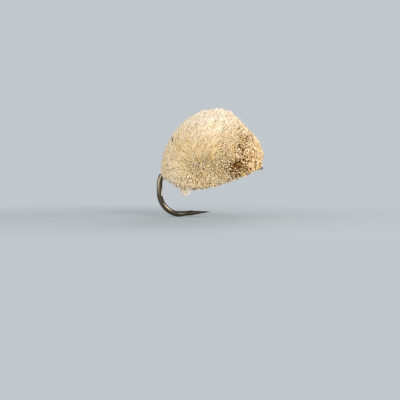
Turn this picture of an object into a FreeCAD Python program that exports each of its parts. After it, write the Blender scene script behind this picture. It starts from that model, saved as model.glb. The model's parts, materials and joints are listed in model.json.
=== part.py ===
"""Dry fly with a clipped deer-hair body, tied to float like a crust of bread.

A forged, ring-eyed hook is wound with thread. Bundles of deer hair are bound along its shank, each
under its own band of thread, then flared and clipped to a dome with a flat underside: cream hair at
the back and brown hair, the crust, at the front. A whip-finished head behind the eye locks the
thread, under a coat of varnish.

Millimetres. The origin is the centre of the hook's eye. +X runs along the shank from the bend to the
eye, and +Z points up, away from the hook's point.
"""

import FreeCAD
import Part
import math
import os

V = FreeCAD.Vector

# Hook wire
wire_d = 0.80            # round wire, in the shank and the spear
forged_height = 0.92     # flattened bend, measured in the plane of the hook
forged_width = 0.64      # flattened bend, measured across the hook
blend_length = 0.90      # over which the round wire turns into the flattened bend

# Hook eye
eye_bore_r = 0.56        # radius of the hole that the leader goes through
eye_wire_d = 0.52        # wire drawn down to form the eye
eye_land = 0.20          # length of the flat that the forming pin leaves inside the eye
eye_seam = 0.05          # gap where the end of the wire closes on the neck
eye_seam_deg = 152.0     # where that gap is, counted round the eye from +X
neck_length = 1.35       # taper from the eye's wire to the full wire

# Hook bend and point
shank_length = 13.50     # centre of the eye to the start of the bend
top_bend_r = 2.68        # from the shank to the straight back of the bend
back_length = 1.40       # straight back of the bend
main_bend_r = 3.66       # round part of the bend
main_bend_deg = 72.0     # how far the round part turns
heel_bend_r = 2.00       # tighter turn into the spear
spear_rise_deg = 4.3     # the spear's slope up towards the point
spear_length = 1.00      # round, straight wire before the point's taper
point_length = 3.20      # needle taper
point_tip_r = 0.03
barb_height = 0.10       # how far the barb stands off the wire
barb_length = 0.75
barb_width = 0.34
barb_overhang = 0.22     # how far its tip reaches back over its root

# Thread
thread_d = 0.16
band_wraps = 3           # turns of thread that bind one bundle
hair_pinch = 0.14        # thickness of hair squeezed under a band
head_wraps = 6
head_rear_layers = 3     # layers of thread on the wire, where the head meets the hair
head_front_layers = 2    # and at the eye, where it ends
varnish_coat = 0.05
fit_gap = 0.01           # clearance where one piece lies on another

# Hair body: an egg about the shank that leans towards the eye as it rises
body_centre_x = -7.50
body_half_length = 8.45
body_half_width = 7.30
body_height = 9.72       # above the shank
body_lean = 0.09         # forward, for each unit up
core_cover = 0.08        # hair over the thickest thread, before the bundles fan out
bundle_gap = 0.04        # clearance between bundles that are packed together

# Underside of the body: a flat between slopes up to the bend and the eye, with clipped sides
rear_trim_depth = 1.05   # at the back end of the body
flat_depth = 3.40
flat_rear_x = -12.45
flat_front_x = -8.40
throat_x = -4.40         # where the slope to the eye steepens
throat_depth = 2.40
front_trim_depth = 0.35  # under the eye
side_trim_half_width = 5.20  # at the shank's level
side_trim_deg = 58.0     # slope of the clipped sides, from level

# The flat that is clipped over the eye
brow_height = 4.85       # straight above the centre of the eye
brow_deg = 46.5          # slope, from level

# Where the bundles are bound, and where their faces meet the body's outline: an angle about the
# body's centre, from 0 at the eye's end to 180 at the bend's end
cream_bundles = 7
crust_bundles = 3
hair_start = 0.12        # first bundle, in front of the start of the bend
crust_x = -4.70
crust_edge_deg = 61.0
front_edge_deg = 11.7
head_setback = 2.05      # last bundle's front face, behind the centre of the eye

wire_r = wire_d / 2
eye_wire_r = eye_wire_d / 2
eye_ring_r = eye_bore_r + math.sqrt(eye_wire_r**2 - (eye_land / 2) ** 2)
thread_r = thread_d / 2
base_outer_r = wire_r + fit_gap + thread_d
band_inner_r = base_outer_r + hair_pinch
band_outer_r = band_inner_r + thread_d
head_rear_r = wire_r + fit_gap + head_rear_layers * thread_d
head_front_r = eye_wire_r + fit_gap + head_front_layers * thread_d
head_start_x = -head_setback + varnish_coat
head_front_x = -(eye_ring_r + eye_wire_r) - varnish_coat * 2
core_r = max(head_rear_r + varnish_coat, band_outer_r) + core_cover
hair_rear_x = -shank_length + hair_start
hair_front_x = -head_setback - body_lean * core_r - fit_gap
body_rear_x = body_centre_x - body_half_length

ALONG = V(1, 0, 0)
ACROSS = V(0, 1, 0)
UP = V(0, 0, 1)


def between(start, end, share):
    return start + (end - start) * share


def polygon(points):
    return Part.Face(Part.makePolygon([*points, points[0]]))


def turned(face):
    """The solid that a face in the XZ plane makes when it is turned about the shank."""
    return face.revolve(V(0, 0, 0), ALONG, 360)


def rod(start_x, end_x, radius):
    return Part.makeCylinder(radius, end_x - start_x, V(start_x, 0, 0), ALONG)


class WireWalk:
    """Lays wire in the XZ plane, one solid for each step, from a place and a heading."""

    def __init__(self, place, heading_deg, grow):
        self.place = place
        self.heading_deg = heading_deg
        self.grow = grow
        self.solids = []

    def forward(self):
        turn = math.radians(self.heading_deg)
        return V(math.cos(turn), 0, math.sin(turn))

    def inward(self):
        """Square to the heading, towards the middle of the bend."""
        turn = math.radians(self.heading_deg)
        return V(-math.sin(turn), 0, math.cos(turn))

    def section(self, height, width):
        """An oval of this height in the plane of the hook, and this width across it."""
        half_height = height / 2 + self.grow
        half_width = width / 2 + self.grow
        major_way, minor_way = self.inward(), ACROSS
        if half_height < half_width:
            major_way, minor_way = minor_way, major_way
            half_height, half_width = half_width, half_height
        oval = Part.Ellipse(V(0, 0, 0), half_height, half_width).toShape()
        spin = FreeCAD.Rotation(major_way, minor_way, V(0, 0, 0), "XYZ")
        oval.Placement = FreeCAD.Placement(self.place, spin)
        return Part.Wire(oval)

    def straight(self, length, height, width):
        face = Part.Face(self.section(height, width))
        self.solids.append(face.extrude(self.forward() * length))
        self.place = self.place + self.forward() * length

    def blend(self, length, start, end):
        """A stretch whose section changes from one (height, width) to another."""
        first = self.section(*start)
        self.place = self.place + self.forward() * length
        self.solids.append(Part.makeLoft([first, self.section(*end)], True))

    def arc(self, radius, turn_deg, height, width):
        centre = self.place + self.inward() * radius
        face = Part.Face(self.section(height, width))
        self.solids.append(face.revolve(centre, -ACROSS, turn_deg))
        spin = FreeCAD.Rotation(-ACROSS, turn_deg)
        self.place = centre + spin.multVec(self.place - centre)
        self.heading_deg += turn_deg


def eye_ring(grow):
    ring = Part.makeTorus(eye_ring_r, eye_wire_r + grow)
    tall = eye_wire_d * 2
    bore = Part.makeCylinder(eye_bore_r - grow, tall, V(0, 0, -tall / 2), UP)
    seam = Part.makeBox(eye_ring_r * 2, eye_seam, tall, V(0, -eye_seam / 2, -tall / 2))
    seam.rotate(V(0, 0, 0), UP, eye_seam_deg)
    return ring.cut([bore, seam])


def barb(walk):
    """A sliver raised from the wire where its taper begins, pointing back at the bend."""
    start = walk.place - ACROSS * (barb_width / 2)
    root = start + walk.inward() * (wire_r / 2)
    points = [
        start + walk.inward() * (wire_r + barb_height),
        root + walk.forward() * barb_overhang,
        root + walk.forward() * barb_length,
    ]
    return polygon(points).extrude(ACROSS * barb_width)


def hook(grow=0.0):
    """The whole hook. A grow above 0 makes the room that other pieces leave for it."""
    blend_start = -shank_length + blend_length
    neck_end = -eye_ring_r - neck_length
    neck = Part.makeCone(
        wire_r + grow, eye_wire_r + grow, neck_length, V(neck_end, 0, 0), ALONG
    )
    shank = rod(blend_start, neck_end, wire_r + grow)

    round_wire = (wire_d, wire_d)
    forged_wire = (forged_height, forged_width)
    heel_bend_deg = 90 + spear_rise_deg - main_bend_deg
    walk = WireWalk(V(blend_start, 0, 0), 180, grow)
    walk.blend(blend_length, round_wire, forged_wire)
    walk.arc(top_bend_r, 90, *forged_wire)
    walk.straight(back_length, *forged_wire)
    walk.arc(main_bend_r, main_bend_deg, *forged_wire)
    walk.arc(heel_bend_r, heel_bend_deg, *forged_wire)
    walk.blend(blend_length, forged_wire, round_wire)
    spear = Part.makeCylinder(wire_r + grow, spear_length, walk.place, walk.forward())
    walk.place = walk.place + walk.forward() * spear_length
    point = Part.makeCone(
        wire_r + grow, point_tip_r + grow, point_length, walk.place, walk.forward()
    )
    parts = [neck, shank, *walk.solids, spear, point, barb(walk)]
    return eye_ring(grow).multiFuse(parts).removeSplitter()


def wound(start_x, end_x, wraps, inner_r, start_r, end_r):
    """A winding of touching turns on a round core. Its outside is one bulge for each turn,
    between valleys that run from start_r to end_r."""
    valleys = [
        V(between(start_x, end_x, k / wraps), 0, between(start_r, end_r, k / wraps))
        for k in range(wraps + 1)
    ]
    bulge_r = (end_x - start_x) / wraps / 2
    edges = []
    for left, right in zip(valleys, valleys[1:]):
        top = (left + right) * 0.5 + UP * bulge_r
        edges.append(Part.Arc(left, top, right).toShape())
    inside = [V(end_x, 0, inner_r), V(start_x, 0, inner_r)]
    edges += list(Part.makePolygon([valleys[-1], *inside, valleys[0]]).Edges)
    return turned(Part.Face(Part.Wire(edges)))


def thread_base():
    """One layer of thread on the bare shank, under all the hair."""
    wraps = round((hair_front_x - hair_rear_x) / thread_d)
    valley_r = wire_r + fit_gap + thread_r
    winding = wound(hair_rear_x, hair_front_x, wraps, wire_r / 2, valley_r, valley_r)
    return winding.cut(hook(fit_gap))


def thread_band(middle_x):
    half = band_wraps * thread_r
    valley_r = band_inner_r + thread_r
    return wound(
        middle_x - half, middle_x + half, band_wraps, band_inner_r, valley_r, valley_r
    )


def band_room(middle_x):
    """The groove that a band presses into its bundle."""
    half = band_wraps * thread_r + fit_gap
    ends = (middle_x - half, middle_x + half)
    floor = rod(*ends, band_inner_r - fit_gap)
    return rod(*ends, band_outer_r + fit_gap).cut(floor)


def whip_finish():
    valleys = (head_rear_r - thread_r, head_front_r - thread_r)
    winding = wound(head_start_x, head_front_x, head_wraps, eye_wire_r / 2, *valleys)
    return winding.cut(hook(fit_gap))


def head_varnish():
    """A coat over the head and over its front, up to the wire."""
    bulge_r = (head_front_x - head_start_x) / head_wraps / 2
    lift = bulge_r - thread_r + fit_gap
    rear, front = head_rear_r + lift, head_front_r + lift
    inside_x = head_front_x + fit_gap
    outside_x = inside_x + varnish_coat
    coat = polygon(
        [
            V(head_start_x, 0, rear),
            V(head_start_x, 0, rear + varnish_coat),
            V(outside_x, 0, front + varnish_coat),
            V(outside_x, 0, eye_wire_r / 2),
            V(inside_x, 0, eye_wire_r / 2),
            V(inside_x, 0, front),
        ]
    )
    return turned(coat).cut(hook(fit_gap))


def bundle_faces():
    """Each face between bundles, as (x on the shank, angle on the body's outline)."""
    cream = [
        (
            between(hair_rear_x, crust_x, k / cream_bundles),
            between(180, crust_edge_deg, k / cream_bundles),
        )
        for k in range(cream_bundles)
    ]
    crust = [
        (
            between(crust_x, hair_front_x, k / crust_bundles),
            between(crust_edge_deg, front_edge_deg, k / crust_bundles),
        )
        for k in range(crust_bundles + 1)
    ]
    return cream + crust


def squashed(solid):
    """A ball of the body's height about the origin, made into the egg that the hair is clipped to."""
    egg = FreeCAD.Matrix()
    egg.scale(body_half_length / body_height, body_half_width / body_height, 1)
    egg.A13 = body_lean
    egg.move(V(body_centre_x, 0, 0))
    return solid.transformGeometry(egg)


def fan_slice(rear, front):
    """One bundle's share of the body: square to the shank in the core, then fanning out to the
    outline. It is drawn inside a ball, and squashed to the egg."""
    stretch = body_height / body_half_length
    ball_core_r = core_r * body_height / body_half_width
    half_gap_deg = math.degrees(bundle_gap / 2 / body_height)

    def on_outline(angle_deg):
        turn = math.radians(angle_deg)
        return V(math.cos(turn) * body_height, 0, math.sin(turn) * body_height)

    def in_core(x, radius):
        return V((x - body_centre_x) * stretch, 0, radius)

    (rear_x, rear_deg), (front_x, front_deg) = rear, front
    front_x -= bundle_gap / 2
    front_deg += half_gap_deg
    if rear_deg == 180:  # the last bundle closes round the back of the body
        back = [on_outline(180)]
    else:
        rear_x += bundle_gap / 2
        rear_deg -= half_gap_deg
        back = [in_core(rear_x, 0), in_core(rear_x, ball_core_r), on_outline(rear_deg)]
    ahead = [on_outline(front_deg), in_core(front_x, ball_core_r), in_core(front_x, 0)]
    outside = Part.Arc(back[-1], on_outline((rear_deg + front_deg) / 2), ahead[0])
    edges = [outside.toShape(), *Part.makePolygon([*ahead, *back]).Edges]
    return squashed(turned(Part.Face(Part.Wire(edges))))


def below_flat():
    """What is clipped away under the flat and its slopes."""
    reach = body_half_length * 2
    rear_slope = (flat_depth - rear_trim_depth) / (body_rear_x - flat_rear_x)
    throat_slope = (throat_depth - front_trim_depth) / -throat_x
    side = V(0, -body_half_width * 2, 0)
    points = [
        V(flat_rear_x - reach, 0, -flat_depth - rear_slope * reach),
        V(flat_rear_x, 0, -flat_depth),
        V(flat_front_x, 0, -flat_depth),
        V(throat_x, 0, -throat_depth),
        V(throat_x + reach, 0, -throat_depth + throat_slope * reach),
        V(throat_x + reach, 0, -body_height * 3),
        V(flat_rear_x - reach, 0, -body_height * 3),
    ]
    return polygon([p + side for p in points]).extrude(side * -2)


def over_brow():
    """What is clipped away above the slope over the eye."""
    turn = math.radians(brow_deg)
    up_slope = V(-math.cos(turn), 0, math.sin(turn)) * body_height * 2
    start = V(0, -body_half_width * 2, brow_height)
    corner = V(-up_slope.x, 0, up_slope.z)
    points = [start - up_slope, start + up_slope, start + corner]
    return polygon(points).extrude(ACROSS * body_half_width * 4)


def beside_flat(side):
    """What is clipped away on one side, outside a plane that leans outwards as it rises."""
    turn = math.radians(side_trim_deg)
    along_slope = V(0, side * math.cos(turn), math.sin(turn)) * body_height * 2
    start = V(body_centre_x - body_half_length * 2, side * side_trim_half_width, 0)
    corner = V(along_slope.x, along_slope.y, -along_slope.z)
    points = [start - along_slope, start + along_slope, start + corner]
    return polygon(points).extrude(ALONG * body_half_length * 4)


def hair_bundle(rear, front, hook_room, clipped):
    middle_x = (rear[0] + front[0]) / 2
    reach = body_half_length * 2
    shank_room = rod(
        hair_rear_x - fit_gap, body_centre_x + reach, base_outer_r + fit_gap
    )
    room = [shank_room, band_room(middle_x), hook_room, *clipped]
    return fan_slice(rear, front).cut(room)


def named_pieces():
    """Each piece's name and solid."""
    yield "hook", hook()
    yield "thread_base", thread_base()
    faces = bundle_faces()
    hook_room = hook(fit_gap)
    clipped = [below_flat(), beside_flat(1), beside_flat(-1), over_brow()]
    for number, (rear, front) in enumerate(zip(faces, faces[1:]), 1):
        if number <= cream_bundles:
            name = f"cream_bundle_{number}"
        else:
            name = f"crust_bundle_{number - cream_bundles}"
        yield name, hair_bundle(rear, front, hook_room, clipped)
        yield f"thread_band_{number}", thread_band((rear[0] + front[0]) / 2)
    yield "whip_finish", whip_finish()
    yield "head_varnish", head_varnish()


os.makedirs("parts", exist_ok=True)
for name, solid in named_pieces():
    print(f"{name}: {len(solid.Solids)} solid, valid {solid.isValid()}, {solid.Volume:.3f} mm3")
    solid.exportStep(f"parts/{name}.step")
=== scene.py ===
"""Dry fly with a clipped deer-hair body: the looks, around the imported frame.

The frame's hook is swept again as one smooth wire. Each hair bundle is replaced by its hairs, one
closed strand each, flared from the bundle's thread band to the clipped outline of the body.
Lengths are in millimetres, and MM turns them into metres.
"""

import json
import math

import bmesh
import bpy
import numpy as np
from mathutils import Matrix, Vector
from mathutils.kdtree import KDTree

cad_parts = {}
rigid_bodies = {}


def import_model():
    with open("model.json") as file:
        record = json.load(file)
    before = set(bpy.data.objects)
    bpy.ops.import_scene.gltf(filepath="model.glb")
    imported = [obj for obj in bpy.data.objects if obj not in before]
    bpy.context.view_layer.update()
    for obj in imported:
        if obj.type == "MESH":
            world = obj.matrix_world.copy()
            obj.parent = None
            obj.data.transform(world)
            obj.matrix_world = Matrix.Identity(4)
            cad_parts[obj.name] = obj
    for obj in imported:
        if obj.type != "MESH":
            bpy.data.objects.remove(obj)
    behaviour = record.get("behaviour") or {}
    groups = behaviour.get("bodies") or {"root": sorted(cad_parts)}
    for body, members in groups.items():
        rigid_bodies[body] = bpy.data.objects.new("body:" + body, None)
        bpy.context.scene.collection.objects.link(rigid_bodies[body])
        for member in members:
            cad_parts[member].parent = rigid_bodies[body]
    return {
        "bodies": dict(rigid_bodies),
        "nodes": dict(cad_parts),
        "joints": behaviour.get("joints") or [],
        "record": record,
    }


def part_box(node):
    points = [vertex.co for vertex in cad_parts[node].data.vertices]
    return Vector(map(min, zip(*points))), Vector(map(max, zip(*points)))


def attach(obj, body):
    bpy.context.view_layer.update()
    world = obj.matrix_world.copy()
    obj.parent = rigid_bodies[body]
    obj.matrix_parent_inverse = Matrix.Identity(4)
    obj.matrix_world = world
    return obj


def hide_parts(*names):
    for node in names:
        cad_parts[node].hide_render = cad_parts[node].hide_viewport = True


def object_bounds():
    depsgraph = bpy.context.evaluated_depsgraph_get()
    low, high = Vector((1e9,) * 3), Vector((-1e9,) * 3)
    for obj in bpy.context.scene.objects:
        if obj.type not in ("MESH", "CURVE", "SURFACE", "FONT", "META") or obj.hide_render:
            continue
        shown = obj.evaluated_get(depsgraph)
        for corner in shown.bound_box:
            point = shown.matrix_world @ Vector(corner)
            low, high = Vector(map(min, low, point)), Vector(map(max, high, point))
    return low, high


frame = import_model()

MM = 0.001
CAD_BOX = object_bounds()

# Hook wire
WIRE_D = 0.80
EYE_WIRE_D = 0.52
FORGED = (0.92, 0.64)  # flattened bend: height in the hook's plane, width across it
EYE_R = 0.80  # centreline of the eye's ring
EYE_END_DEG = 155  # where the wire's cut end closes on the neck
EYE_ENTRY_DEG = 150  # where the neck runs into the ring, on its other side
NECK_LENGTH = 1.35
SHANK_LENGTH = 13.50
BLEND_LENGTH = 0.90
TOP_BEND = (2.68, 90)  # radius and turn
BACK_LENGTH = 1.40
MAIN_BEND = (3.66, 72)
HEEL_BEND = (2.00, 22.3)
SPEAR_LENGTH = 1.00
POINT_LENGTH = 3.20
POINT_TIP_D = 0.05
POINT_FULLNESS = 0.86  # under 1 makes the taper swell like a ground needle
BARB_HEIGHT = 0.10
BARB_LENGTH = 0.75
BARB_WIDTH = 0.34
BARB_OVERHANG = 0.22  # how far its tip reaches back over its root
TAPER_STEPS = 24
WIRE_SIDES = 32
BEND_STEP_DEG = 4

# Outline that the hair is clipped to: an egg that leans towards the eye, with clipped flats
BODY_CENTRE = np.array([-7.46, 0.0, 0.0])
BODY_HALF = np.array([8.42, 7.32, 9.76])
BODY_LEAN = 0.09
UNDERSIDE = [(-15.95, -1.25), (-12.45, -3.40), (-8.40, -3.38), (-4.40, -2.12), (0.00, -0.12)]
SIDE_TRIM_HALF_WIDTH = 5.27
SIDE_TRIM_DEG = 58
BROW_HEIGHT = 4.68  # of the flat over the eye
BROW_DEG = 45.5
TRIM_SHARPNESS = 30  # higher makes the edges between the clipped faces crisper
HEART = np.array([-7.60, 0.0, 2.60])  # a point well inside, from which the outline is swept

# Bundles, counted from the bend to the eye
CREAM_BUNDLES = 7
CRUST_BUNDLES = 3
CRUST_EDGE_DEG = 61  # where they meet the outline, as angles from the eye's end
FRONT_EDGE_DEG = 11.7
# How far back of its edge the crust reaches at each height
CRUST_SWEEP = [(-2.6, -0.6), (-1.0, 1.8), (0.8, 1.8), (2.4, 0.0), (7.0, -0.9)]
CLUMP_MINGLE = 0.45  # how far clumps stray over the edges between bundles
HAIR_MINGLE = 0.25  # and single hairs
FRONT_HOLLOW = ((-2.10, 1.30), (0.97, 2.00))  # (x, radius) at the ends of the hollow round the eye
HOLLOW_MARGIN = 0.12

# Hairs
HAIR_SEED = 14
SWEPT_HAIRS = 28500
TIP_JITTER = 0.009  # how far tips stray from even spacing, seen from the heart
CRUST_SHARE = 0.47  # the crust's hair is coarser, so fewer fit
CREAM_DIAMETERS = (0.15, 0.23)
CRUST_DIAMETERS = (0.25, 0.40)
CLUMPS = 1700
CLUMP_PULL = 0.20
PATCHES = 300  # patches of one shade
UNDERHAIR_DEPTH = 0.30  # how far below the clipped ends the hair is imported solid
CRUST_DEPTH = 0.62  # and in the crust
CRUST_BLEND = 0.5  # over which the one turns into the other

# One hair
HAIR_SIDES = 6
HAIR_STATIONS = (0.38, 0.68, 0.90)  # rings between a hair's root and its clipped end
PITH_SHARE = 0.62  # of the clipped end's radius
PITH_SINK = 0.30  # in radii
ROOT_RING_R = 0.92
ROOT_SPREAD = 0.24
ROOT_PINCH = 0.30  # thickness under the thread, as a share of the full hair
FULL_FROM = 0.45  # the hair has its full thickness beyond this share of its length
TIP_TAPER = 0.08
BEND_FROM_TIP = (0.35, 0.60)  # where a hair curves, as shares of its length
BEND_TOUSLE = 0.05

# How the hair is combed
FAN_POINT = np.array([-10.20, 0.0, 1.00])  # outwards from here
SIDE_LIFT_DEG = (10, 24)  # how steeply the hairs end on the flanks, from lying flat
TOP_LIFT_DEG = (24, 48)
CRUST_LIFT_DEG = (62, 88)
WHORL_RADIUS = (0.6, 2.6)  # the hairs stand up inside the first, and lie combed beyond the second
CRUST_RISE = 3.8  # how far behind the crust the cream starts to stand up
CRUST_FLARE = 0.45  # under 1 turns the crust's hairs square to the hook's shank
CLUMP_TOUSLE = 0.17  # how far headings stray, from clump to clump
HAIR_TOUSLE = 0.07  # and from hair to hair

# How evenly it is clipped
CLUMP_UNEVEN = {"crust": 0.13, "underside": 0.08, "dome": 0.05}
HAIR_UNEVEN = 0.04
CUT_SHORT = (0.06, 0.30)
SHORT_SHARE = 0.18
LEFT_PROUD = (0.08, 0.34)
PROUD_SHARE = 0.08
HOOK_CLEARANCE = (0.58, 0.44)  # from the wire's middle: in the hook's plane, and across it
TUFT = np.array([-11.75, -1.90, -3.40])  # a lock that the clipping left longer
TUFT_RADIUS = 0.95
TUFT_DROP = 0.95
STRAY_PLACE = np.array([-14.05, -2.80, 4.25])  # where one dark hair lies on the cream
STRAY_HEADING = np.array([0.02, 0.50, 0.87])
STRAY_LENGTH = 0.80


def linear(hex_colour):
    """An sRGB hex colour as linear RGBA."""
    values = [int(hex_colour[i : i + 2], 16) / 255 for i in (1, 3, 5)]
    return (*(v / 12.92 if v <= 0.04045 else ((v + 0.055) / 1.055) ** 2.4 for v in values), 1.0)


# ---------------------------------------------------------------- camera, light and stage

VIEW_WIDTH = 66.7  # what the frame covers at the fly
LENS = 100
SENSOR = 36
EYE_LEVEL = Vector((-9.10, 0, 0.83)) * MM  # the camera stands level with this point, beside the fly
AIM = Vector((-9.433, 0, -5.333)) * MM  # and looks at this one
BACKDROP = "#C1C7CB"
PAPER = "#AEB6BB"
PAPER_FADE = (20, 70)  # where the paper starts to turn into the backdrop, and where it has
FLOOR_RADIUS = 3000


def place_camera():
    camera = bpy.data.objects.new("camera", bpy.data.cameras.new("camera"))
    camera.data.lens = LENS
    camera.data.sensor_width = SENSOR
    distance = VIEW_WIDTH * MM * LENS / SENSOR
    camera.data.clip_start = distance / 100
    camera.data.clip_end = distance * 100
    camera.location = EYE_LEVEL + Vector((0, -distance, 0))
    camera.rotation_euler = (AIM - camera.location).to_track_quat("-Z", "Y").to_euler()
    bpy.context.scene.collection.objects.link(camera)
    bpy.context.scene.camera = camera


def add_lamp(name, place, wide, tall, power, colour):
    """A soft box that faces the fly. place, wide and tall are in millimetres, and power in watts."""
    lamp = bpy.data.objects.new(name, bpy.data.lights.new(name, "AREA"))
    lamp.data.shape = "RECTANGLE"
    lamp.data.size = wide * MM
    lamp.data.size_y = tall * MM
    lamp.data.energy = power
    lamp.data.color = linear(colour)[:3]
    lamp.location = Vector(place) * MM
    target = Vector(BODY_CENTRE) * MM
    lamp.rotation_euler = (target - lamp.location).to_track_quat("-Z", "Y").to_euler()
    bpy.context.scene.collection.objects.link(lamp)


def add_node(tree, kind, sockets=None, **settings):
    """Adds a node. sockets gives each input a value or the output that feeds it. A colour Mix has its
    factor at 0 and its two colours at 6 and 7."""
    node = tree.nodes.new("ShaderNode" + kind)
    for key, value in settings.items():
        setattr(node, key, value)
    for key, value in (sockets or {}).items():
        if isinstance(value, bpy.types.NodeSocket):
            tree.links.new(value, node.inputs[key])
        else:
            node.inputs[key].default_value = value
    return node


def sees_backdrop(tree):
    """1 for rays that should meet the pale backdrop: those of the camera, mirrors and glass."""
    path = add_node(tree, "LightPath")
    seen = path.outputs["Is Camera Ray"]
    for other in ("Is Glossy Ray", "Is Transmission Ray"):
        seen = add_node(tree, "Math", {0: seen, 1: path.outputs[other]}, operation="MAXIMUM").outputs[0]
    return seen


def light_the_world(strength):
    world = bpy.data.worlds.new("studio")
    world.use_nodes = True
    tree = world.node_tree
    tree.nodes.clear()
    light = add_node(tree, "Background", {"Color": linear("#FFFFFF"), "Strength": strength})
    backdrop = add_node(tree, "Background", {"Color": linear(BACKDROP), "Strength": 1.0})
    mix = add_node(tree, "MixShader", {0: sees_backdrop(tree), 1: light.outputs[0], 2: backdrop.outputs[0]})
    add_node(tree, "OutputWorld", {"Surface": mix.outputs[0]})
    bpy.context.scene.world = world


def new_material(name):
    material = bpy.data.materials.new(name)
    material.use_nodes = True
    material.node_tree.nodes.clear()
    return material


def seamless_paper():
    """Matt, uncoated paper under the fly that turns into the plain backdrop further out."""
    near, far = PAPER_FADE
    material = new_material("seamless_paper")
    tree = material.node_tree
    place = add_node(tree, "TexCoord").outputs["Object"]
    middle = (BODY_CENTRE[0] * MM, 0, CAD_BOX[0][2])
    out = add_node(tree, "VectorMath", {0: place, 1: middle}, operation="DISTANCE").outputs["Value"]
    fade = add_node(
        tree,
        "MapRange",
        {"Value": out, "From Min": near * MM, "From Max": far * MM},
        interpolation_type="SMOOTHSTEP",
    )
    seen = add_node(tree, "Math", {0: fade.outputs[0], 1: sees_backdrop(tree)}, operation="MULTIPLY")
    paper = add_node(tree, "BsdfDiffuse", {"Color": linear(PAPER)})
    glow = add_node(tree, "Emission", {"Color": linear(BACKDROP), "Strength": 1.0})
    mix = add_node(tree, "MixShader", {0: seen.outputs[0], 1: paper.outputs[0], 2: glow.outputs[0]})
    add_node(tree, "OutputMaterial", {"Surface": mix.outputs[0]})
    return material


def lay_floor():
    bm = bmesh.new()
    level = Matrix.Translation((0, 0, CAD_BOX[0][2]))
    bmesh.ops.create_circle(bm, cap_ends=True, segments=96, radius=FLOOR_RADIUS * MM, matrix=level)
    finished("floor", bm, seamless_paper())


# ---------------------------------------------------------------- pieces

def finished(name, bm, material):
    """An object at the origin that holds the bmesh's shape."""
    mesh = bpy.data.meshes.new(name)
    bm.to_mesh(mesh)
    bm.free()
    mesh.materials.append(material)
    piece = bpy.data.objects.new(name, mesh)
    bpy.context.scene.collection.objects.link(piece)
    return piece


def arc_step(centre, degrees):
    """The move that carries a frame round a centre beside it, turning its heading (local Z) that way."""
    axis = Vector((0, 0, 1)).cross(centre).normalized()
    turn = Matrix.Rotation(math.radians(degrees), 4, axis)
    return Matrix.Translation(centre) @ turn @ Matrix.Translation(-centre)


def wire_stations():
    """Each cross-section of the hook's wire, as (frame, height, width), from the cut end at the eye
    to the point. A frame's Z is the heading, its X points into the gape and its Y lies across."""
    at = math.radians(EYE_END_DEG)
    frame = Matrix(
        (
            (0, math.cos(at), math.sin(at), EYE_R * math.cos(at)),
            (0, math.sin(at), -math.cos(at), EYE_R * math.sin(at)),
            (-1, 0, 0, 0),
            (0, 0, 0, 1),
        )
    )

    def bend(radius, degrees, way, height, width):
        nonlocal frame
        steps = math.ceil(degrees / BEND_STEP_DEG)
        for _ in range(steps):
            frame = frame @ arc_step(Vector(way) * radius, degrees / steps)
            yield frame, height, width

    def run(length, start, end, steps=1):
        nonlocal frame
        for k in range(1, steps + 1):
            frame = frame @ Matrix.Translation((0, 0, length / steps))
            share = k / steps
            yield frame, *(a + (b - a) * share for a, b in zip(start, end))

    eye, full = (EYE_WIRE_D, EYE_WIRE_D), (WIRE_D, WIRE_D)
    yield frame, *eye
    yield from bend(EYE_R, EYE_END_DEG + EYE_ENTRY_DEG, (0, -1, 0), *eye)
    yield from bend(EYE_R, EYE_ENTRY_DEG - 90, (0, 1, 0), *eye)
    yield from run(NECK_LENGTH, eye, full, 4)
    yield from run(SHANK_LENGTH - BLEND_LENGTH + frame.translation.x, full, full)
    yield from run(BLEND_LENGTH, full, FORGED, 6)
    yield from bend(*TOP_BEND, (1, 0, 0), *FORGED)
    yield from run(BACK_LENGTH, FORGED, FORGED)
    yield from bend(*MAIN_BEND, (1, 0, 0), *FORGED)
    yield from bend(*HEEL_BEND, (1, 0, 0), *FORGED)
    yield from run(BLEND_LENGTH, FORGED, full, 6)
    yield from run(SPEAR_LENGTH, full, full, 10)
    for k in range(1, TAPER_STEPS + 1):
        frame = frame @ Matrix.Translation((0, 0, POINT_LENGTH / TAPER_STEPS))
        width = POINT_TIP_D + (WIRE_D - POINT_TIP_D) * (1 - k / TAPER_STEPS) ** POINT_FULLNESS
        yield frame, width, width


def raise_barb(bm, start):
    """A sliver cut up from the wire where its taper begins, pointing back at the bend."""
    low = WIRE_D / 4
    corners = [(WIRE_D / 2 + BARB_HEIGHT, 0), (low, BARB_OVERHANG), (low, BARB_LENGTH)]
    verts = [bm.verts.new(start @ Vector((x, -BARB_WIDTH / 2, z))) for x, z in corners]
    side = bm.faces.new(verts)
    far = bmesh.ops.extrude_face_region(bm, geom=[side])["geom"]
    across = start.to_3x3() @ Vector((0, BARB_WIDTH, 0))
    bmesh.ops.translate(bm, vec=across, verts=[v for v in far if isinstance(v, bmesh.types.BMVert)])


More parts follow.
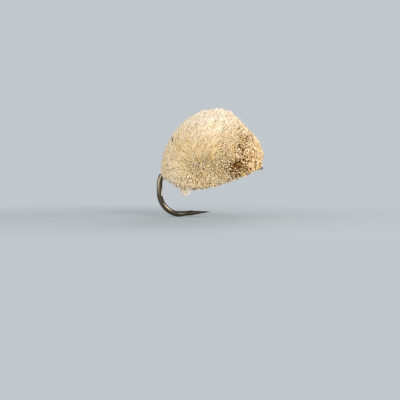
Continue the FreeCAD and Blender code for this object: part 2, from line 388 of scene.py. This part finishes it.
def sweep_hook():
    """One closed wire: a circle that is extruded from station to station."""
    bm = bmesh.new()
    stations = list(wire_stations())

    def section(frame, height, width):
        return frame @ Matrix.Diagonal((height / 2, width / 2, 1, 1))

    now = section(*stations[0])
    made = bmesh.ops.create_circle(bm, cap_ends=True, segments=WIRE_SIDES, radius=1, matrix=now)
    ring = list({edge for vert in made["verts"] for edge in vert.link_edges})
    for station in stations[1:]:
        grown = bmesh.ops.extrude_edge_only(bm, edges=ring)["geom"]
        verts = [v for v in grown if isinstance(v, bmesh.types.BMVert)]
        edges = [e for e in grown if isinstance(e, bmesh.types.BMEdge)]
        ring = [e for e in edges if all(v in verts for v in e.verts)]
        then = section(*station)
        bmesh.ops.transform(bm, matrix=then @ now.inverted(), verts=verts)
        now = then
    bmesh.ops.holes_fill(bm, edges=ring)
    for face in bm.faces:
        face.smooth = len(face.verts) == 4
    raise_barb(bm, stations[-TAPER_STEPS - 1][0])
    bmesh.ops.recalc_face_normals(bm, faces=bm.faces)
    bmesh.ops.scale(bm, vec=(MM, MM, MM), verts=bm.verts)
    return bm


# ---------------------------------------------------------------- hair

def strand_template():
    """A hair of unit radius and length, whose clipped end shows its skin as a rim round the pith. The
    pith stands past 1 here, by what lay_strands then sinks it below the rim."""
    bm = bmesh.new()
    bmesh.ops.create_cone(
        bm, cap_ends=True, segments=HAIR_SIDES, radius1=1, radius2=1, depth=1,
        matrix=Matrix.Translation((0, 0, 0.5)),
    )
    for station in HAIR_STATIONS:
        geometry = [*bm.verts, *bm.edges, *bm.faces]
        bmesh.ops.bisect_plane(bm, geom=geometry, plane_co=(0, 0, station), plane_no=(0, 0, 1))
    bm.faces.ensure_lookup_table()
    clipped = max(bm.faces, key=lambda face: face.calc_center_median().z)
    for edge in clipped.edges:
        edge.smooth = False
    bmesh.ops.inset_individual(bm, faces=[clipped], thickness=1 - PITH_SHARE, use_even_offset=False)
    pith = max(bm.faces, key=lambda face: (face.calc_center_median().z, len(face.verts)))
    bmesh.ops.translate(bm, vec=(0, 0, PITH_SINK), verts=pith.verts)
    for face in bm.faces:
        face.smooth = abs(face.normal.z) < 0.5
    mesh = bpy.data.meshes.new("strand")
    bm.to_mesh(mesh)
    bm.free()
    return mesh


def corner_table(mesh):
    """For each face corner of the template: its vertex, its place along the hair, whether it is on
    the rim or the pith, and its place in the hair's cell of the map. The shaft fills most of the
    cell, and the clipped end and the root lie in a strip above it."""
    clipped_place, root_place, cap_radius = (0.5, 0.93), (0.15, 0.93), 0.055
    rows = []
    for face in mesh.polygons:
        cap = abs(face.normal.z) > 0.2
        clipped = cap and face.center.z > 0.99
        pith = clipped and face.center.xy.length < 0.01
        middle = math.atan2(face.center.y, face.center.x) % math.tau
        for index in face.vertices:
            x, y, z = mesh.vertices[index].co
            if cap:
                u, v = clipped_place if clipped else root_place
                uv = (u + cap_radius * x, v + cap_radius * y)
            else:
                off = (math.atan2(y, x) - middle + math.pi) % math.tau - math.pi
                uv = (0.01 + 0.98 * (middle + off) / math.tau, 0.01 + 0.84 * z)
            rows.append((index, min(z, 1.0), clipped and not pith, pith, *uv))
    return np.array(rows, float)


def outline_planes():
    """The clipped faces, each as an outward normal and how far along it the face lies."""
    for (x0, z0), (x1, z1) in zip(UNDERSIDE, UNDERSIDE[1:]):
        normal = np.array([z1 - z0, 0, x0 - x1])
        normal /= np.linalg.norm(normal)
        yield normal, normal @ (x0, 0, z0)
    turn = math.radians(SIDE_TRIM_DEG)
    for side in (1, -1):
        normal = np.array([0, side * math.sin(turn), -math.cos(turn)])
        yield normal, SIDE_TRIM_HALF_WIDTH * math.sin(turn)
    brow = math.radians(BROW_DEG)
    yield np.array([math.sin(brow), 0, math.cos(brow)]), BROW_HEIGHT * math.cos(brow)


def reach(ways):
    """How far each way runs from the heart before it leaves the clipped outline."""

    def unlean(v):
        return (v - np.outer(v[:, 2], (BODY_LEAN, 0, 0))) / BODY_HALF

    start = unlean((HEART - BODY_CENTRE)[None])[0]
    way = unlean(ways)
    a, b, c = (way * way).sum(1), way @ start, start @ start - 1
    total = ((np.sqrt(b * b - a * c) - b) / a) ** -TRIM_SHARPNESS
    for normal, offset in outline_planes():
        speed = ways @ normal
        facing = speed > 1e-6
        total[facing] += (speed[facing] / (offset - HEART @ normal)) ** TRIM_SHARPNESS
    return total ** (-1 / TRIM_SHARPNESS)


def even_ways(count):
    """Directions spread evenly over a ball, on a golden-angle spiral."""
    k = np.arange(count) + 0.5
    height = 1 - 2 * k / count
    turn = k * math.pi * (3 - math.sqrt(5))
    flat = np.sqrt(1 - height**2)
    return np.stack([flat * np.cos(turn), flat * np.sin(turn), height], 1)


def unit(v):
    return v / np.linalg.norm(v, axis=1, keepdims=True)


def in_front_hollow(points, margin):
    """Whether each point is in the hollow that is kept clear round the eye, or within the margin."""
    (x0, r0), (x1, r1) = FRONT_HOLLOW
    radius = np.hypot(points[:, 1] * BODY_HALF[2] / BODY_HALF[1], points[:, 2])
    edge = r0 + (r1 - r0) * (points[:, 0] - x0) / (x1 - x0)
    return (points[:, 0] > x0 - margin) & (radius < edge + margin)


def by_the_hook(tips):
    """Whether each tip would stand in the hook's wire where it leaves the hair."""
    radius, _ = TOP_BEND
    in_plane, across = HOOK_CLEARANCE
    arc = np.abs(np.hypot(tips[:, 0] + SHANK_LENGTH, tips[:, 2] + radius) - radius)
    back = np.abs(tips[:, 0] + SHANK_LENGTH + radius)
    near = np.where(tips[:, 2] > -radius, arc, back)
    return (near < in_plane) & (np.abs(tips[:, 1]) < across) & (tips[:, 0] < -SHANK_LENGTH)


def outline_faces():
    """Where the faces between bundles meet the outline, as x, from the bend to the eye."""
    cream = np.linspace(180, CRUST_EDGE_DEG, CREAM_BUNDLES + 1)
    crust = np.linspace(CRUST_EDGE_DEG, FRONT_EDGE_DEG, CRUST_BUNDLES + 1)
    return BODY_CENTRE[0] + BODY_HALF[0] * np.cos(np.radians([*cream, *crust[1:]]))


def bundle_of(tips, stray=0.0):
    """The bundle that each hair comes from, counted from 0 at the bend, and how far its tip is
    ahead of the crust's edge."""
    faces = outline_faces()
    forward = np.clip((tips[:, 0] - faces[0]) / (faces[CREAM_BUNDLES] - faces[0]), 0, 1)
    along = tips[:, 0] + forward * np.interp(tips[:, 2], *zip(*CRUST_SWEEP))
    bundle = np.searchsorted(faces, along + stray) - 1
    return np.clip(bundle, 0, CREAM_BUNDLES + CRUST_BUNDLES - 1), along - faces[CREAM_BUNDLES]


def outward(tips):
    """The egg's outward direction at each tip."""
    x, y, z = (tips - BODY_CENTRE).T / BODY_HALF[:, None] ** 2
    x = x - BODY_LEAN * tips[:, 2] / BODY_HALF[0] ** 2
    return unit(np.stack([x, y, z - BODY_LEAN * x], 1))


def nearest_of(count, ways, rng):
    """Directions spread over a ball, and which of them is nearest to each way."""
    centres = unit(even_ways(count) + rng.normal(0, 0.7 / math.sqrt(count), (count, 3)))
    tree = KDTree(count)
    for number, centre in enumerate(centres):
        tree.insert(centre, number)
    tree.balance()
    return centres, np.array([tree.find(way)[1] for way in ways])


def clipped_tips(rng):
    """Each hair's tip on the clipped outline, with its bundle, clump and patch, and how far it is
    ahead of the crust's edge."""
    ways = unit(even_ways(SWEPT_HAIRS) + rng.normal(0, TIP_JITTER, (SWEPT_HAIRS, 3)))
    centres, clump = nearest_of(CLUMPS, ways, rng)
    pull = CLUMP_PULL * rng.uniform(0.2, 1.0, (CLUMPS, 1))[clump]
    ways = unit(ways * (1 - pull) + centres[clump] * pull)
    patch = nearest_of(PATCHES, ways, rng)[1]
    far = reach(ways)
    tips = HEART + ways * far[:, None]
    stray = rng.normal(0, CLUMP_MINGLE, CLUMPS)[clump] + rng.normal(0, HAIR_MINGLE, len(tips))
    bundle, into_crust = bundle_of(tips, stray)
    share = np.where(bundle >= CREAM_BUNDLES, CRUST_SHARE, 1)
    keep = rng.random(len(tips)) < (far / far.max()) ** 2 * share
    keep &= ~in_front_hollow(tips, HOLLOW_MARGIN) & ~by_the_hook(tips)
    hairs = {"tips": tips, "bundle": bundle, "clump": clump, "patch": patch, "into_crust": into_crust}
    return {key: value[keep] for key, value in hairs.items()}


def combed_headings(hairs, out, rng):
    """The way that each hair's end points. The hairs lie combed outwards from the whorl, and stand
    up in the whorl and in the crust."""
    clump = hairs["clump"]
    count = len(clump)
    away = (hairs["tips"] - FAN_POINT) * (1, 0, 1)
    combed = unit(away - (away * out).sum(1, keepdims=True) * out)
    flank = np.clip(2.2 * np.abs(out[:, 1]) - 0.6, 0, 1)  # 0 on the top and 1 on the sides
    in_whorl = np.interp(np.linalg.norm(away, axis=1), WHORL_RADIUS, (1, 0))
    near_crust = np.clip(1 + hairs["into_crust"] / CRUST_RISE, 0, 1)
    stands = np.maximum(in_whorl, near_crust)
    least, most = (
        edge * stands + (side * flank + top * (1 - flank)) * (1 - stands)
        for edge, side, top in zip(CRUST_LIFT_DEG, SIDE_LIFT_DEG, TOP_LIFT_DEG)
    )
    lift = np.radians(least + (most - least) * rng.random(CLUMPS)[clump])[:, None]
    flare = unit(out * np.stack([1 - (1 - CRUST_FLARE) * near_crust, *np.ones((2, count))], 1))
    heading = combed * np.cos(lift) + flare * np.sin(lift)
    heading += rng.normal(0, CLUMP_TOUSLE, (CLUMPS, 3))[clump]
    return unit(heading + rng.normal(0, HAIR_TOUSLE, (count, 3)))


def clip_unevenly(hairs, out, rng):
    """How far past the outline each hair is cut. Under 0 is short of it."""
    clump = hairs["clump"]
    count = len(clump)
    pick = rng.random(count)
    short = rng.uniform(*CUT_SHORT, count) * (pick < SHORT_SHARE)
    proud = rng.uniform(*LEFT_PROUD, count) * (pick > 1 - PROUD_SHARE)
    uneven = np.where(out[:, 2] < -0.5, CLUMP_UNEVEN["underside"], CLUMP_UNEVEN["dome"])
    uneven = np.where(hairs["bundle"] >= CREAM_BUNDLES, CLUMP_UNEVEN["crust"], uneven)
    return rng.normal(0, 1, CLUMPS)[clump] * uneven + rng.normal(0, HAIR_UNEVEN, count) + proud - short


def grow_hairs(rng):
    """Every hair's tip, bundle, clump, patch, heading and diameter, and whether it is in the lock
    that hangs or is the one dark hair."""
    hairs = clipped_tips(rng)
    tips = hairs["tips"]
    count = len(tips)
    out = outward(tips)
    heading = combed_headings(hairs, out, rng)
    past = clip_unevenly(hairs, out, rng)

    # The lock gathers hairs from a tall ellipsoid round its place, and turns them down.
    tuft = 1 - (np.linalg.norm((tips - TUFT) * (1, 1, 0.2), axis=1) / TUFT_RADIUS) ** 2
    tuft *= tips[:, 2] < 0
    heading = unit(heading - np.outer(np.clip(tuft, 0, 1), (0, 0, 2)))
    past += TUFT_DROP * np.clip(tuft * 1.6, 0, 1) * rng.uniform(0.6, 1.1, count)

    stray = np.argmin(np.linalg.norm(tips - STRAY_PLACE, axis=1))
    tips[stray] = STRAY_PLACE
    heading[stray] = STRAY_HEADING
    past[stray] = STRAY_LENGTH

    thick = rng.uniform(0, 1, count)
    slim, coarse = (low + (high - low) * thick for low, high in (CREAM_DIAMETERS, CRUST_DIAMETERS))
    hairs["tips"] = tips + heading * past[:, None]
    hairs["heading"] = heading
    hairs["diameter"] = np.where(hairs["bundle"] >= CREAM_BUNDLES, coarse, slim)
    hairs["tuft"] = np.clip(tuft, 0, 1)
    hairs["stray"] = np.arange(count) == stray
    return hairs


def band_middle(number):
    low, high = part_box(f"thread_band_{number}")
    return (low.x + high.x) / 2 / MM


def strand_paths(hairs, band_x, rng):
    """Root, bend point and tip of each hair of a bundle."""
    tips = hairs["tips"]
    count = len(tips)
    roll = np.arctan2(tips[:, 1], tips[:, 2])
    root_x = band_x + rng.uniform(-ROOT_SPREAD, ROOT_SPREAD, count)
    roots = np.stack([root_x, ROOT_RING_R * np.sin(roll), ROOT_RING_R * np.cos(roll)], 1)
    length = np.linalg.norm(tips - roots, axis=1, keepdims=True)
    bends = tips - hairs["heading"] * length * rng.uniform(*BEND_FROM_TIP, (count, 1))
    bends += rng.normal(0, BEND_TOUSLE, (count, 3)) * length
    return roots, bends, tips


def lay_strands(template, paths, diameter):
    """The template's vertices, laid along each path: an array of (hair, vertex, xyz). A hair is
    pinched at its root, swells, and narrows a little towards its end."""
    roots, bends, tips = (p[:, None, :] for p in paths)
    t = np.minimum(template[:, 2], 1)[None, :, None]
    middle = (1 - t) ** 2 * roots + 2 * t * (1 - t) * bends + t**2 * tips
    heading = (1 - t) * (bends - roots) + t * (tips - bends)
    heading /= np.linalg.norm(heading, axis=2, keepdims=True)
    side = np.cross(tips - roots, bends - roots)
    side /= np.linalg.norm(side, axis=2, keepdims=True)
    other = np.cross(side, heading)
    swell = ROOT_PINCH + (1 - ROOT_PINCH) * np.minimum(t / FULL_FROM, 1) - TIP_TAPER * t
    radius = diameter[:, None, None] / 2 * swell
    x, y = template[None, :, 0, None], template[None, :, 1, None]
    sunk = np.maximum(template[:, 2] - 1, 0)[None, :, None]
    return middle + radius * (x * other + y * side - sunk * heading)


CREAM_SKINS = ["#F8EBD3", "#FCF3E3", "#F5E3C4", "#F9E5D6", "#F3DFBA"]
TAN_SKINS = ["#ECCF92", "#E1C080", "#EFD9A6"]
CREAM_ENDS = ["#FDF7E7", "#FCF0DB", "#FBEEE0"]
TAN_ENDS_SHARE = 0.4  # of the skins' tan that the clipped ends take
# Painted shade and light: the cream's tan share is partly the hair's own tan, partly painted shade on the
# lower dome and painted light, paler, on the top.
TAN_AND_PAINTED_SHADE_BY_HEIGHT = [(-3.5, 0.6), (0.0, 1.0), (3.5, 1.0), (8.5, 0.0)]  # how far the cream turns tan
REAR_PALING = [(-14.5, 0.4), (-12.5, 0.0)]  # and how much less it does at each x near the bend
CREAM_VARIES = (0.16, 0.10)  # how much that differs from hair to hair, and from patch to patch
CRUST_SKINS = ["#D9AE64", "#E6C686", "#C8964A", "#DDB670", "#CC9E56"]
DARK_SKINS = ["#80521A", "#90641E", "#6C3F10", "#7A3C18"]
CRUST_ENDS = ["#FFF1D0", "#F8E2B4", "#FEECCA", "#EED09C"]
DARK_ENDS = ["#EACB8A", "#BC8C40", "#F4DEA4", "#8E6020"]
CRUST_DARK = (0.22, 0.10)  # how dark the crust is at its edge, and how fast it pales towards the eye
CRUST_VARIES = (0.16, 0.24)
# Painted shade: the crust is painted darker low down, where it turns under the body.
CRUST_PAINTED_SHADE_BY_HEIGHT = [(-4.0, 0.18), (-1.0, 0.06), (1.0, 0.0)]
# Towards the top the crust pales to cream: partly cream hair, partly painted light.
CRUST_PALE_AND_PAINTED_LIGHT_BY_HEIGHT = [(1.6, 0.0), (3.4, 0.45), (6.0, 0.75)]  # how far the crust turns cream
CRUST_SHADOWS = [((-3.1, 0.1), (2.0, 1.3)), ((-2.4, 4.2), (0.7, 1.1))]  # (x, z) and size
CRUST_SHADOW_DEPTH = 0.75
GAP_SHADE = "#865C18"
STRAY_HAIR = "#2E2219"
CREAM_SHADING = ((0.97, 0.91, 0.76), 0.30)  # tint at the root, and how far the tip pales
CRUST_SHADING = ((0.58, 0.47, 0.25), 0.45)
UNDERHAIR_SHADE = (0.90, 0.80, 0.58)


def tints(names, hairs, rng):
    """A tint for each hair, between two of the named colours, alike within a clump."""
    table = np.array([linear(name)[:3] for name in names])
    clumps = rng.integers(len(table), size=CLUMPS)[hairs["clump"]]
    own = rng.integers(len(table), size=len(clumps))
    share = rng.uniform(0.1, 0.6, (len(clumps), 1))
    return table[clumps] * (1 - share) + table[own] * share


def skins_and_ends(hairs, crust, rng):
    """Each hair's colours along the shaft and on its clipped end. The cream turns tan below the top
    of the dome, partly the hair's own tan and partly painted shade, with painted light on the top; less so
    at the rear, and not in the lock that hangs, which is painted paler in place of light bounced up from
    below. The crust is darkest in patches and in two painted shadows, along its rear edge and in painted
    shade low down, and pales towards the eye, and towards the top partly with painted light."""
    along, height = hairs["tips"][:, 0], hairs["tips"][:, 2]
    patch = rng.normal(0, 1, PATCHES)[hairs["patch"]]
    own = rng.normal(0, 1, len(height))
    if crust:
        at_edge, fade = CRUST_DARK
        by_hair, by_patch = CRUST_VARIES
        dark = at_edge - fade * hairs["into_crust"] + by_patch * patch + by_hair * own
        # Painted shade low down on the crust.
        dark += np.interp(height, *zip(*CRUST_PAINTED_SHADE_BY_HEIGHT))
        for middle, size in CRUST_SHADOWS:
            off = (hairs["tips"][:, [0, 2]] - middle) / size
            dark += CRUST_SHADOW_DEPTH * np.exp(-(off**2).sum(1))
        skins, ends = (CRUST_SKINS, DARK_SKINS), (CRUST_ENDS, DARK_ENDS)
    else:
        by_hair, by_patch = CREAM_VARIES
        # The tan by height is partly painted shade low down, and painted light on the top.
        dark = np.interp(height, *zip(*TAN_AND_PAINTED_SHADE_BY_HEIGHT)) + by_hair * own + by_patch * patch
        # Painted light: the lock that hangs is painted paler, in place of light bounced up onto it from
        # below.
        dark -= 2 * hairs["tuft"] + np.interp(along, *zip(*REAR_PALING))
        skins, ends = (CREAM_SKINS, TAN_SKINS), (CREAM_ENDS, TAN_SKINS)
    dark = np.clip(dark, 0, 1)[:, None]
    skin = tints(skins[0], hairs, rng) * (1 - dark) + tints(skins[1], hairs, rng) * dark
    if crust:
        # Partly cream hair, partly painted light on the top of the crust.
        pale = np.interp(height, *zip(*CRUST_PALE_AND_PAINTED_LIGHT_BY_HEIGHT))[:, None] * (1 - dark)
        skin = skin * (1 - pale) + tints(CREAM_SKINS, hairs, rng) * pale
    else:
        dark = dark * TAN_ENDS_SHARE
    return skin, tints(ends[0], hairs, rng) * (1 - dark) + tints(ends[1], hairs, rng) * dark


def corner_colours(corners, skin, pith, root_shade, tipped):
    """Skin, rim and pith colours on each corner of each hair, as (hair, corner, rgba). root_shade
    tints the root, and tipped is how far the skin pales in the hair's last fifth."""
    along = corners[:, 1][None, :, None]
    root_shade = np.array(root_shade)
    fade = root_shade + (1 - root_shade) * np.clip(along * 1.25, 0, 1)
    paler = tipped * np.clip((along - 0.80) / 0.2, 0, 1)
    colour = (skin[:, None, :] * (1 - paler) + pith[:, None, :] * paler) * fade
    rim, core = corners[:, 2][None, :, None], corners[:, 3][None, :, None]
    pith = pith[:, None, :]
    colour = colour * (1 - rim) + (skin[:, None, :] * 0.3 + pith * 0.7) * rim
    colour = colour * (1 - core) + pith * core
    return np.concatenate([colour, np.ones((*colour.shape[:2], 1))], 2)


def hair_piece(name, template, corners, places, colours, material):
    """One mesh of closed strands, with a tint on each corner and a map cell for each hair."""
    count = len(places)
    bm = bmesh.new()
    for _ in range(count):
        bm.from_mesh(template)
    piece = finished(name, bm, material)
    mesh = piece.data
    mesh.vertices.foreach_set("co", (places * MM).astype(np.float32).ravel())
    tint = mesh.color_attributes.new("hair_tint", "FLOAT_COLOR", "CORNER")
    tint.data.foreach_set("color", colours.astype(np.float32).ravel())
    grid = math.ceil(math.sqrt(count))
    cell = np.stack([np.arange(count) % grid, np.arange(count) // grid], 1)[:, None, :]
    uv = (cell + corners[None, :, 4:6]) / (grid, math.ceil(count / grid))
    mesh.uv_layers.new(name="OFBake").uv.foreach_set("vector", uv.astype(np.float32).ravel())
    mesh.update()
    return piece


def make_underhair(rng, material):
    """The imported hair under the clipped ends, which closes the gaps between them. It is drawn in
    step by step where it would fill the hollow round the eye."""
    bm = bmesh.new()
    bmesh.ops.create_icosphere(bm, subdivisions=6, radius=1)
    ways = unit(np.array([vert.co for vert in bm.verts]))
    far = reach(ways)
    crust = np.clip(bundle_of(HEART + ways * far[:, None])[1] / CRUST_BLEND + 0.5, 0, 1)
    far -= UNDERHAIR_DEPTH + (CRUST_DEPTH - UNDERHAIR_DEPTH) * crust
    for _ in range(60):
        far -= 0.1 * in_front_hollow(HEART + ways * far[:, None], UNDERHAIR_DEPTH)
    places = HEART + ways * far[:, None]
    for vert, place in zip(bm.verts, places):
        vert.co = place * MM
    for face in bm.faces:
        face.smooth = True
    piece = finished("underhair", bm, material)
    spots = {
        "tips": places,
        "clump": rng.integers(CLUMPS, size=len(places)),
        "patch": rng.integers(PATCHES, size=len(places)),
        "tuft": np.zeros(len(places)),
    }
    cream = skins_and_ends(spots, False, rng)[0] * UNDERHAIR_SHADE
    tint = cream * (1 - crust[:, None]) + np.array(linear(GAP_SHADE)[:3]) * crust[:, None]
    tint = np.concatenate([tint, np.ones((len(places), 1))], 1)
    layer = piece.data.color_attributes.new("hair_tint", "FLOAT_COLOR", "POINT")
    layer.data.foreach_set("color", tint.astype(np.float32).ravel())
    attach(piece, "root")


def make_hair():
    rng = np.random.default_rng(HAIR_SEED)
    template = strand_template()
    shape = np.array([v.co for v in template.vertices])
    corners = corner_table(template)
    hairs = grow_hairs(rng)
    material = deer_hair()
    make_underhair(rng, material)
    for number in range(1, CREAM_BUNDLES + CRUST_BUNDLES + 1):
        mine = hairs["bundle"] == number - 1
        own = {key: value[mine] for key, value in hairs.items()}
        crust = number > CREAM_BUNDLES
        skin, end = skins_and_ends(own, crust, rng)
        skin[own["stray"]] = linear(STRAY_HAIR)[:3]
        end[own["stray"]] = linear(STRAY_HAIR)[:3]
        places = lay_strands(shape, strand_paths(own, band_middle(number), rng), own["diameter"])
        colours = corner_colours(corners, skin, end, *(CRUST_SHADING if crust else CREAM_SHADING))
        kind = "crust" if crust else "cream"
        place = number - CREAM_BUNDLES if crust else number
        piece = hair_piece(f"{kind}_hair_{place}", template, corners, places, colours, material)
        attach(piece, "root")
        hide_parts(f"{kind}_bundle_{place}")


# ---------------------------------------------------------------- materials

def deer_hair():
    """Deer body hair as it grew, cut with scissors: a satin skin round an airy pith, so that light
    soaks through and the gaps between hairs glow instead of going black."""
    material = new_material("deer_hair")
    tree = material.node_tree
    tint = add_node(tree, "Attribute", attribute_name="hair_tint").outputs["Color"]
    place = add_node(tree, "TexCoord").outputs["Object"]
    mottle = add_node(tree, "TexNoise", {"Vector": place, "Scale": 1 / (0.45 * MM), "Detail": 2.0})
    value = add_node(
        tree,
        "MapRange",
        {"Value": mottle.outputs["Fac"], "From Min": 0.3, "From Max": 0.7, "To Min": 0.93, "To Max": 1.05},
    )
    colour = add_node(
        tree, "Mix", {0: 1.0, 6: tint, 7: value.outputs[0]}, data_type="RGBA", blend_type="MULTIPLY"
    )
    bump = add_node(tree, "Bump", {"Height": mottle.outputs["Fac"], "Distance": 0.02 * MM, "Strength": 0.6})
    skin = add_node(
        tree,
        "BsdfPrincipled",
        {
            "Base Color": colour.outputs[2],
            "Roughness": 0.55,
            "Specular IOR Level": 0.25,
            "Normal": bump.outputs[0],
        },
    )
    through = add_node(tree, "BsdfTranslucent", {"Color": colour.outputs[2]})
    hair = add_node(tree, "MixShader", {0: 0.15, 1: skin.outputs[0], 2: through.outputs[0]})
    add_node(tree, "OutputMaterial", {"Surface": hair.outputs[0]})
    return material


def bronzed_steel():
    """Drawn steel with a dark bronzed lacquer: near black, with sharp highlights."""
    material = new_material("bronzed_steel")
    tree = material.node_tree
    place = add_node(tree, "TexCoord").outputs["Object"]
    draw = add_node(tree, "TexNoise", {"Vector": place, "Scale": 1 / (0.12 * MM), "Detail": 3.0})
    tone = add_node(
        tree,
        "Mix",
        {0: draw.outputs["Fac"], 6: linear("#584D3F"), 7: linear("#6B604F")},
        data_type="RGBA",
    )
    rough = add_node(tree, "MapRange", {"Value": draw.outputs["Fac"], "To Min": 0.10, "To Max": 0.17})
    metal = add_node(
        tree,
        "BsdfPrincipled",
        {
            "Base Color": tone.outputs[2],
            "Metallic": 1.0,
            "Specular Tint": linear("#4A4036"),
            "Roughness": rough.outputs[0],
            "Coat Weight": 0.3,
            "Coat Roughness": 0.06,
        },
    )
    add_node(tree, "OutputMaterial", {"Surface": metal.outputs[0]})
    return material


def waxed_thread():
    """Waxed nylon tying thread, twisted from filaments: pale tan and satin, with a fine bump. The
    filaments are about 0.02 mm thick and are drawn twice as coarse, or they wouldn't show."""
    material = new_material("waxed_thread")
    tree = material.node_tree
    place = add_node(tree, "TexCoord").outputs["Object"]
    strands = add_node(
        tree,
        "TexWave",
        {"Vector": place, "Scale": math.tau / 20 / (0.04 * MM), "Distortion": 2.0},
        bands_direction="X",
    )
    tone = add_node(
        tree, "Mix", {0: strands.outputs["Fac"], 6: linear("#C8B184"), 7: linear("#DCC9A0")}, data_type="RGBA"
    )
    bump = add_node(tree, "Bump", {"Height": strands.outputs["Fac"], "Distance": 0.01 * MM, "Strength": 0.3})
    thread = add_node(
        tree,
        "BsdfPrincipled",
        {"Base Color": tone.outputs[2], "Roughness": 0.42, "Normal": bump.outputs[0]},
    )
    add_node(tree, "OutputMaterial", {"Surface": thread.outputs[0]})
    return material


def head_lacquer():
    """Head cement, brushed on, that soaked the tying thread amber and dried glossy, with the wraps
    showing."""
    material = new_material("head_lacquer")
    tree = material.node_tree
    place = add_node(tree, "TexCoord").outputs["Object"]
    wraps = add_node(
        tree, "TexWave", {"Vector": place, "Scale": math.tau / 20 / (0.16 * MM)}, bands_direction="X"
    )
    tone = add_node(
        tree, "Mix", {0: wraps.outputs["Fac"], 6: linear("#8E6C38"), 7: linear("#B8935A")}, data_type="RGBA"
    )
    bump = add_node(tree, "Bump", {"Height": wraps.outputs["Fac"], "Distance": 0.02 * MM, "Strength": 0.5})
    lacquer = add_node(
        tree,
        "BsdfPrincipled",
        {
            "Base Color": tone.outputs[2],
            "Roughness": 0.35,
            "Normal": bump.outputs[0],
            "Coat Weight": 1.0,
            "Coat Roughness": 0.05,
        },
    )
    add_node(tree, "OutputMaterial", {"Surface": lacquer.outputs[0]})
    return material


def make_hook():
    hook = finished("hook_wire", sweep_hook(), bronzed_steel())
    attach(hook, "root")
    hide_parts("hook")


def dress(node, material):
    """Gives a carried-over CAD node its material."""
    for slot in frame["nodes"][node].material_slots:
        slot.material = material


def dress_threads():
    thread = waxed_thread()
    dress("thread_base", thread)
    dress("whip_finish", thread)
    for number in range(1, CREAM_BUNDLES + CRUST_BUNDLES + 1):
        dress(f"thread_band_{number}", thread)
    dress("head_varnish", head_lacquer())


bpy.context.scene.view_settings.view_transform = "Standard"
place_camera()
light_the_world(0.64)
add_lamp("key", (70, -150, 85), 60, 60, 0.16, "#FFF8EE")
add_lamp("fill", (-120, -140, 10), 220, 80, 0.185, "#FFFFFF")
add_lamp("window", (150, -30, 0), 110, 40, 0.27, "#FFFFFF")
add_lamp("back", (30, 160, 70), 80, 80, 0.15, "#FFFFFF")
lay_floor()
make_hook()
make_hair()
dress_threads()
